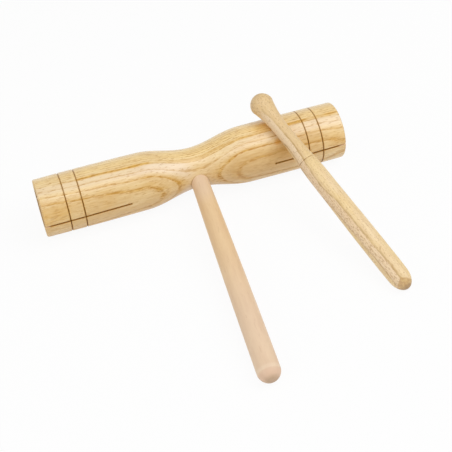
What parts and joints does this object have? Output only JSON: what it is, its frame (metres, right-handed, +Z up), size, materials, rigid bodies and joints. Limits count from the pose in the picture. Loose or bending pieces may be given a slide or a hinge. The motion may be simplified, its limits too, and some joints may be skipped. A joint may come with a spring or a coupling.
{
  "type": "two-tone wood block",
  "caption": "Waisted turned wooden tone block with bored, saw-slit ends, a tapered handle set in its waist and a loose turned beater leaning on it; struck for a low or a high note.",
  "frame": {"origin": "bottom centre of the bounding box, on the table the block, handle end and beater butt rest on", "axes": "+X along the block's axis from the low-pitched end to the high-pitched end, +Y from the handle's end back to the block, +Z up"},
  "size_m": [0.2, 0.1808, 0.0547],
  "materials": {
    "block_wood": "clear satin lacquer on pale straight-to-flamed ash",
    "handle_wood": "sanded, close-grained pinkish beige",
    "beater_wood": "sanded, pale open-pored"
  },
  "bodies": {
    "block": {"tone_block": "block_wood", "handle": "handle_wood"},
    "beater": {"beater": "beater_wood"}
  },
  "joints": [
    {"name": "beater_lift", "type": "slide", "parent": "block", "child": "beater", "axis": [0, 0, 1], "range_m": [0, 0.12]}
  ]
}
